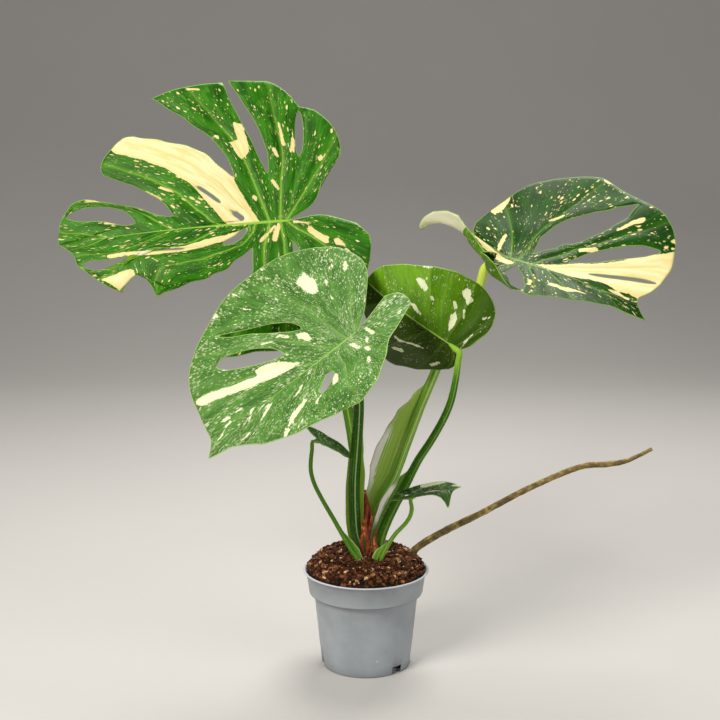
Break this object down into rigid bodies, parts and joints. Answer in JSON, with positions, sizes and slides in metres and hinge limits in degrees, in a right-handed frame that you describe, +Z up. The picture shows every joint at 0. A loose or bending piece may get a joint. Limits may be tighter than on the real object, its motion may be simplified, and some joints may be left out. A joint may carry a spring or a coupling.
{
  "type": "potted monstera plant",
  "caption": "Young monstera with cut, holed and cream-marked leaves on sheathed stalks and one long aerial root, growing in a round stepped nursery pot.",
  "frame": {"origin": "centre of the pot's base, on the surface it stands on", "axes": "+Z up, -Y towards the front view, +X to the right in the front view"},
  "size_m": [0.5754, 0.2688, 0.5575],
  "materials": {
    "pot_plastic": "blue-grey satin polypropylene",
    "potting_mix": "moist dark coir and bark crumbs",
    "stem": "dull ringed cane",
    "leaf": "waxy green with cream flecks, streaks and patches, paler below",
    "leaf_stalk": "smooth green with pale stripes, cream sheath edges",
    "papery_scale": "dry brown and papery",
    "root": "tan to olive, scaly brown at the base"
  },
  "bodies": {
    "root": {"pot": "pot_plastic", "potting_mix": "potting_mix", "stem": "stem", "blade_1": "leaf", "blade_2": "leaf", "blade_3": "leaf", "blade_4": "leaf", "blade_5": "leaf", "blade_6": "leaf", "petiole_1": "leaf_stalk", "petiole_2": "leaf_stalk", "petiole_3": "leaf_stalk", "petiole_4": "leaf_stalk", "petiole_5": "leaf_stalk", "petiole_6": "leaf_stalk", "cataphyll": "papery_scale", "aerial_root": "root"}
  },
  "joints": []
}
